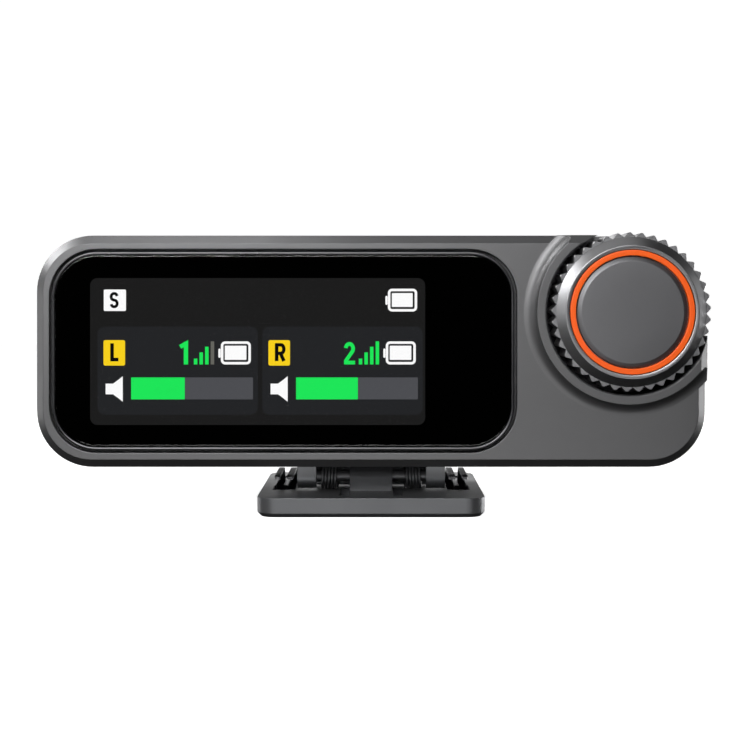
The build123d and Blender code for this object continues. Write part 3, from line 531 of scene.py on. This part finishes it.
# ---------------------------------------------------------------- dial
class RECEIVER_OT_dial(Operator):
    """Build the knurled dial, its orange ring and its cap"""

    bl_idname = "receiver.dial"
    bl_label = "Dial"

    def execute(self, context):
        tint, dial = context.scene.receiver_finish, context.scene.receiver_dial
        joint = next(j for j in frame["joints"] if j["name"] == "dial_turn")
        centre = joint["pos_m"]
        low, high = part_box("dial_wheel")
        bore = (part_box("dial_shaft")[1].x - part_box("dial_shaft")[0].x) / 2
        cap = (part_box("dial_cap")[1].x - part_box("dial_cap")[0].x) / 2
        ring = (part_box("dial_accent_ring")[1].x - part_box("dial_accent_ring")[0].x) / 2
        cap_back, ring_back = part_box("dial_cap")[1].y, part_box("dial_accent_ring")[1].y
        tip = high.z - centre[2]
        valley = tip - dial.tooth_depth
        face = valley - dial.bevel
        steps = 12
        angles = np.radians(91) + (np.arange(dial.teeth * steps) / steps - 0.5) * 2 * np.pi / dial.teeth
        # a tooth rises from 0 to 1 and falls back over one pitch: 1 - |2t - 1|, stretched so that its tip is
        # flat
        t = np.tile(np.arange(steps) / steps, dial.teeth)
        tooth = np.clip((1 - np.abs(2 * t - 1)) / (1 - dial.tip_share), 0, 1)
        rim = valley + dial.tooth_depth * tooth

        def turned(radius, depth):
            return np.full_like(angles, radius), depth

        small = dial.edge
        bevel = low.y + dial.bevel
        slope = fillet((valley, bevel), (face, low.y), (ring, low.y), small * 0.7, 6)
        rows = [turned(bore, high.y), (rim - 0.30 * MM, high.y), (rim - 0.22 * MM, high.y - 0.02 * MM),
                (rim - 0.02 * MM, high.y - 0.22 * MM), (rim, high.y - 0.30 * MM),
                (rim, bevel + 1.3 * small), (rim - 0.35 * small * tooth, bevel + 0.35 * small),
                (valley + (rim - valley) * 0.9, bevel), turned(valley, bevel)]
        rows += [turned(*point) for point in slope]
        rows += [turned(ring + 0.05 * MM + small, low.y),
                 turned(ring + 0.05 * MM + 0.3 * small, low.y + 0.3 * small),
                 turned(ring + 0.05 * MM, low.y + small), turned(ring + 0.05 * MM, ring_back),
                 turned(cap + 0.02 * MM, ring_back), turned(cap + 0.02 * MM, cap_back),
                 turned(bore, cap_back)]
        radii, depths = np.array([row[0] for row in rows]), np.array([row[1] for row in rows])
        # aluminium, turned, knurled and bead blasted before anodising: satin grey with brighter bevels
        blasted = surface("aluminium_blasted_anodised", tint.dial, linear("#9a9a9c"), 0.38, grain=0.12,
                          depth=0.0015, metallic=1.0)
        build("dial_wheel_knurled", [lathe(radii, depths, angles, centre, close_rows=True)], blasted, "dial",
              ["dial_wheel"], sharp=35)

        around = np.linspace(0, 2 * np.pi, 192, endpoint=False)
        front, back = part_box("dial_accent_ring")[0].y, ring_back
        inner = ring - 0.45 * MM
        section = smoothed([(inner, back), (inner, front), (ring, front), (ring, back)], 0.06 * MM)
        # aluminium, turned and anodised orange: deep colour with a fine turned sheen
        orange = surface("aluminium_anodised_orange", tint.accent, linear("#ff5a05"), 0.42, grain=0.1,
                         depth=0.0006, metallic=0.1)
        build("dial_accent_ring_turned", [lathe(section[:, :1], section[:, 1], around, centre,
                                                close_rows=True)],
              orange, "dial", ["dial_accent_ring"])

        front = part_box("dial_cap")[0].y
        rim, drop = cap - 0.34 * MM, front + 0.16 * MM
        crown = np.concatenate([fillet((cap, cap_back), (cap, drop), (rim, front), 0.04 * MM),
                                fillet((cap, drop), (rim, front), (0, front), 0.04 * MM)])
        section = np.concatenate([[(cap * 0.5, cap_back), (cap, cap_back)], crown, [(cap * 0.5, front)]])
        # aluminium disc, bead blasted and anodised: flat, even and satin
        disc = surface("aluminium_disc_satin", linear("#767678"), linear("#717173"), 0.48, grain=0.1,
                       depth=0.001, metallic=1.0)
        build("dial_cap_satin", [lathe(section[:, :1], section[:, 1], around, centre, caps=True)], disc,
              "dial", ["dial_cap"])
        # bright steel, ground: fine even lines
        paint(surface("steel_ground", linear("#a9a9ab"), linear("#98989a"), 0.3, grain=0.1, depth=0.001,
                      metallic=1.0, cloud=1.0), "dial_shaft")
        return {"FINISHED"}


# ---------------------------------------------------------------- clip
class RECEIVER_OT_clip(Operator):
    """Finish the clip's foot, bracket and springs, and build its leaf springs"""

    bl_idname = "receiver.clip"
    bl_label = "Clip Foot"

    def execute(self, context):
        tint = context.scene.receiver_finish
        # die-cast zinc, satin coated: dark grey with soft worn-in sheen
        paint(surface("zinc_cast_satin_coated", tint.foot, linear("#656668"), 0.46, grain=0.14, depth=0.002,
                      edge=0.08, metallic=0.8), "clip_foot")
        # stainless steel, stamped and blasted: a paler satin grey than the foot, partly the steel's own tone
        # and partly painted light that lifts the bracket out of the shade under the body
        paint(surface("stainless_blasted_painted_light", linear("#a8a9ab"), linear("#9c9d9f"), 0.5, grain=0.14, depth=0.002,
                      edge=0.08, metallic=1.0), "clip_bracket")
        # spring steel, blackened: dark wire with a dull metallic line of light along it
        black = surface("spring_steel_blackened", linear("#98989a"), linear("#858587"), 0.45, grain=0.1,
                        depth=0.002, metallic=1.0, cloud=1.0)
        paint(black, "clip_spring_left", "clip_spring_right", "hinge_pin")
        # spring steel strip, tempered and brushed: a lighter grey than the wire, with rounded bright edges
        tempered = surface("spring_steel_strip_brushed", linear("#c2c2c4"), linear("#b0b0b2"), 0.5,
                           grain=0.12, depth=0.002, metallic=1.0, cloud=1.2)
        for side, name in ((-1, "left"), (1, "right")):
            low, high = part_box(f"shoe_spring_{name}")
            thick = 0.22 * MM
            rise = high.z - low.z - thick
            parts = []
            for start, width in ((6.56 * MM, 0.56 * MM), (7.66 * MM, 0.50 * MM)):
                # centre line: flat root, a smooth rise 3t^2 - 2t^3, then level to a rounded tip that dips a
                # little
                along = np.concatenate([np.linspace(5.0, -3.2, 40),
                                        -3.2 - 0.5 * np.sin(np.linspace(0.2, 1.5, 8))]) * MM
                t = np.clip((4.4 * MM - along) / (1.6 * MM), 0, 1)
                dip = 0.12 * MM * np.clip((-2.9 * MM - along) / (0.8 * MM), 0, 1) ** 2
                height = low.z + thick / 2 + rise * t * t * (3 - 2 * t) - dip
                left_over = np.clip((along - low.y) / (0.25 * MM), 0, 1)
                taper = 0.25 + 0.75 * np.sqrt(1 - (1 - left_over) ** 2)
                ring = rounded(-0.5, 0.5, -0.5, 0.5, 0.18, 4)
                across = side * (start + width / 2 + ring[None, :, 0] * width * taper[:, None])
                up = height[:, None] + ring[None, :, 1] * thick
                deep = np.broadcast_to(along[:, None], across.shape)
                parts.append(grid(np.stack([across, deep, up], -1), caps=True))
            root = rounded(side * 7.36 * MM - 0.91 * MM, side * 7.36 * MM + 0.91 * MM, 4.65 * MM, high.y,
                           0.2 * MM, 5)
            rings = np.broadcast_to(root, (2, *root.shape))
            levels = np.broadcast_to([[low.z], [low.z + 0.2 * MM]], rings.shape[:2])
            parts.append(grid(np.dstack([rings, levels]), caps=True))
            build(f"shoe_spring_{name}_formed", parts, tempered, "foot", [f"shoe_spring_{name}"])
        return {"FINISHED"}


# ---------------------------------------------------------------- inside
class RECEIVER_OT_inside(Operator):
    """Finish the battery, boards, antennas, switches and other inner parts"""

    bl_idname = "receiver.inside"
    bl_label = "Inner Parts"

    def execute(self, context):
        # tin-plated steel sheet, pressed: pale with a soft spangle
        paint(surface("steel_tin_plated", linear("#b4b4b2"), linear("#a2a2a0"), 0.34, grain=0.5, depth=0.002,
                      metallic=1.0, cloud=2.0, swing=0.1), "display_tray", "shield_can")
        # polyimide film with copper tracks under it: amber and glossy
        paint(surface("polyimide_film", linear("#a8691e"), linear("#8a5010"), 0.3, grain=0.4, depth=0.002,
                      ior=1.7, cloud=0.8), "display_flex")
        # laminated aluminium foil pouch, heat sealed: silvery and slightly crumpled
        paint(surface("foil_pouch_laminated", linear("#b0b0b3"), linear("#9c9ca0"), 0.4, grain=1.5,
                      depth=0.03, metallic=0.9, cloud=4.0, swing=0.1), "battery")
        # polyurethane foam, die cut: matte and pored
        paint(surface("polyurethane_foam", linear("#3a3a3c"), linear("#2a2a2c"), 0.9, grain=0.25, depth=0.06,
                      cloud=1.0), "battery_pad")
        # glass-epoxy board with solder mask: dark green and semi-gloss, with the tracks' drift in tone
        paint(surface("board_solder_masked", linear("#0f4a2c"), linear("#0a3520"), 0.32, grain=0.3,
                      depth=0.004, cloud=0.9), "main_board")
        # epoxy moulding compound: black, with a fine ground face
        paint(surface("epoxy_moulded", linear("#1d1d1e"), linear("#161617"), 0.55, grain=0.1, depth=0.003,
                      cloud=1.0), "board_chips")
        # copper, etched and lacquered: warm and satin
        paint(surface("copper_etched", linear("#c57b52"), linear("#b06a44"), 0.35, grain=0.1, depth=0.001,
                      metallic=1.0, cloud=1.0), "antenna_left", "antenna_right")
        # acetal, moulded: black with a waxy sheen
        paint(surface("acetal_moulded", linear("#1a1a1b"), linear("#141415"), 0.42, grain=0.2, depth=0.002,
                      cloud=1.5), "power_switch", "dial_bush", "encoder_body", "press_switch", "dial_plunger")
        return {"FINISHED"}


# ---------------------------------------------------------------- stage
class RECEIVER_OT_stage(Operator):
    """Set up the round white cove, the softboxes and the camera"""

    bl_idname = "receiver.stage"
    bl_label = "Stage"

    def execute(self, context):
        scene, stage = context.scene, context.scene.receiver_stage
        around = np.linspace(0, 2 * np.pi, 96, endpoint=False)
        # profile of the cove: level floor out to the bend, a quarter circle, then the wall
        bend = np.linspace(-np.pi / 2, 0, 13)
        reach, bend_r, wall = 0.9, 0.4, 1.4
        radius = np.concatenate([np.geomspace(0.004, reach - bend_r, 12),
                                 reach - bend_r + bend_r * np.cos(bend), [reach]])
        height = np.concatenate([np.zeros(12), bend_r * (1 + np.sin(bend)), [wall]])
        points = np.stack([radius[:, None] * np.cos(around), radius[:, None] * np.sin(around),
                           np.broadcast_to(height[:, None], (len(height), len(around)))], -1)
        index = np.arange(points.shape[0] * points.shape[1]).reshape(points.shape[:2])
        quads = np.stack([index[:-1], np.roll(index, -1, 1)[:-1], np.roll(index, -1, 1)[1:], index[1:]], -1)
        mesh = bpy.data.meshes.new("cove")
        mesh.from_pydata(points.reshape(-1, 3).tolist(), [],
                         quads.reshape(-1, 4).tolist() + [index[0, ::-1].tolist()])
        mesh.shade_smooth()
        # matt white paint on board, lit from under its own skin so that it stays bright out to the wall. Its
        # glow is turned down a little near the middle, a painted shade round the place where the receiver
        # stands
        white = bpy.data.materials.new("cove_matt_white")
        white.use_nodes = True
        tree = white.node_tree
        tree.nodes.clear()
        place = add(tree, "ShaderNodeTexCoord").outputs["Object"]
        away = add(tree, "ShaderNodeVectorMath", {0: place}, operation="LENGTH").outputs["Value"]
        # painted shade: the glow rises from 0.94 at the middle to 1.02 at 0.12 m out, so the floor is dimmer
        # round the receiver
        glow_with_painted_shade = add(tree, "ShaderNodeMapRange", {"Value": away, "From Min": 0.02, "From Max": 0.12,
                                                "To Min": 0.94, "To Max": 1.02}).outputs[0]
        shader = add(tree, "ShaderNodeBsdfPrincipled", {
            "Base Color": linear("#e6e6e6"), "Roughness": 0.9, "Specular IOR Level": 0.0,
            "Emission Color": linear("#ffffff"), "Emission Strength": glow_with_painted_shade})
        add(tree, "ShaderNodeOutputMaterial", {"Surface": shader.outputs[0]})
        mesh.materials.append(white)
        cove = bpy.data.objects.new("cove", mesh)
        cove.visible_diffuse = cove.visible_glossy = cove.visible_transmission = cove.visible_shadow = False
        scene.collection.objects.link(cove)

        def softbox(name, place, aim, wide, high, power, spread=180):
            """A rectangular light at place, in mm, that faces aim. A grid narrows its spread, in degrees."""
            light = bpy.data.lights.new(name, "AREA")
            light.shape, light.size, light.size_y, light.energy = "RECTANGLE", wide * MM, high * MM, power
            light.spread = np.radians(spread)
            lamp = bpy.data.objects.new(name, light)
            lamp.location = Vector(place) * MM
            lamp.rotation_euler = (Vector(aim) - Vector(place)).to_track_quat("-Z", "Y").to_euler()
            lamp.visible_camera = False
            scene.collection.objects.link(lamp)

        softbox("front_right_softbox", (0, -140, 85), (0, 0, 12), 60, 60, stage.front * 0.44)
        softbox("front_left_softbox", (-50, -140, 75), (0, 0, 12), 50, 50, stage.front * 0.56)
        softbox("shoulder_softbox", (-52, 4, 58), (20, -10, 16), 40, 40, stage.over, 60)
        softbox("top_left_softbox", (-18, -8, 60), (-18, -9, 20), 24, 24, stage.over * 0.045, 60)
        softbox("left_fill", (-64, -76, 50), (-20, -10, 12), 30, 24, stage.fill)
        softbox("right_fill", (90, -5, 25), (20, 0, 12), 40, 50, stage.fill * 0.5)
        softbox("top_fill", (-5, -8, 110), (0, 0, 12), 110, 60, stage.fill)
        softbox("low_fill", (0, -70, -16), (0, -8, 4), 80, 22, stage.fill)
        softbox("left_low_fill", (-90, -30, 20), (0, -10, 12), 30, 40, stage.fill * 0.5)

        # light for the rear and the ends, weak or low, so that little of it reaches the front
        softbox("rear_softbox", (-20, 120, 34), (0, 10, 12), 110, 60, stage.rear * 0.3)
        softbox("rear_right_softbox", (110, 70, 4), (20, 0, 12), 60, 36, stage.rear * 0.6)
        softbox("rear_left_softbox", (-110, 70, 4), (-20, 0, 12), 60, 36, stage.rear * 0.25)

        sky = bpy.data.worlds.new("studio_dark")
        sky.use_nodes = True
        tree = sky.node_tree
        tree.nodes.clear()
        facing = add(tree, "ShaderNodeTexCoord").outputs["Generated"]
        up = add(tree, "ShaderNodeSeparateXYZ", {0: facing}).outputs[2]
        level = add(tree, "ShaderNodeMapRange", {"Value": up, "From Min": -0.4, "From Max": 1.0,
                                                 "To Min": 0.002, "To Max": 0.02}).outputs[0]
        ground = add(tree, "ShaderNodeBackground", {"Color": linear("#ffffff"), "Strength": level})
        add(tree, "ShaderNodeOutputWorld", {"Surface": ground.outputs[0]})
        scene.world = sky

        camera = bpy.data.cameras.new("camera")
        camera.lens, camera.sensor_width = stage.lens, 36.0
        camera.shift_x, camera.shift_y = -1 / 750, stage.drop
        camera.clip_start = 0.01
        viewer = bpy.data.objects.new("camera", camera)
        viewer.location = (stage.side, -stage.distance, stage.height)
        viewer.rotation_euler = (np.pi / 2, 0, 0)
        scene.collection.objects.link(viewer)
        scene.camera = viewer
        scene.view_settings.view_transform = "Standard"
        return {"FINISHED"}


STEPS = (RECEIVER_OT_casing, RECEIVER_OT_ports, RECEIVER_OT_glass, RECEIVER_OT_marks, RECEIVER_OT_dial,
         RECEIVER_OT_clip, RECEIVER_OT_inside, RECEIVER_OT_stage)
GROUPS = {"receiver_finish": ReceiverFinish, "receiver_dial": ReceiverDial, "receiver_screen": ReceiverScreen,
          "receiver_stage": ReceiverStage}


class RECEIVER_PT_looks(Panel):
    """Lists the receiver's pieces and their settings"""

    bl_label = "Receiver"
    bl_space_type = "VIEW_3D"
    bl_region_type = "UI"
    bl_category = "Receiver"

    def draw(self, context):
        for name, group in GROUPS.items():
            box = self.layout.box()
            for setting in group.__annotations__:
                box.prop(getattr(context.scene, name), setting)
        for step in STEPS:
            self.layout.operator(step.bl_idname)


def register():
    for group in GROUPS.values():
        bpy.utils.register_class(group)
    for kind in (*STEPS, RECEIVER_PT_looks):
        bpy.utils.register_class(kind)
    for name, group in GROUPS.items():
        setattr(bpy.types.Scene, name, PointerProperty(type=group))


def unregister():
    for name in GROUPS:
        delattr(bpy.types.Scene, name)
    for kind in (RECEIVER_PT_looks, *reversed(STEPS), *reversed(GROUPS.values())):
        bpy.utils.unregister_class(kind)


def main():
    """Builds every piece in order."""
    register()
    for step in STEPS:
        family, action = step.bl_idname.split(".")
        getattr(getattr(bpy.ops, family), action)()


if __name__ == "__main__":
    main()
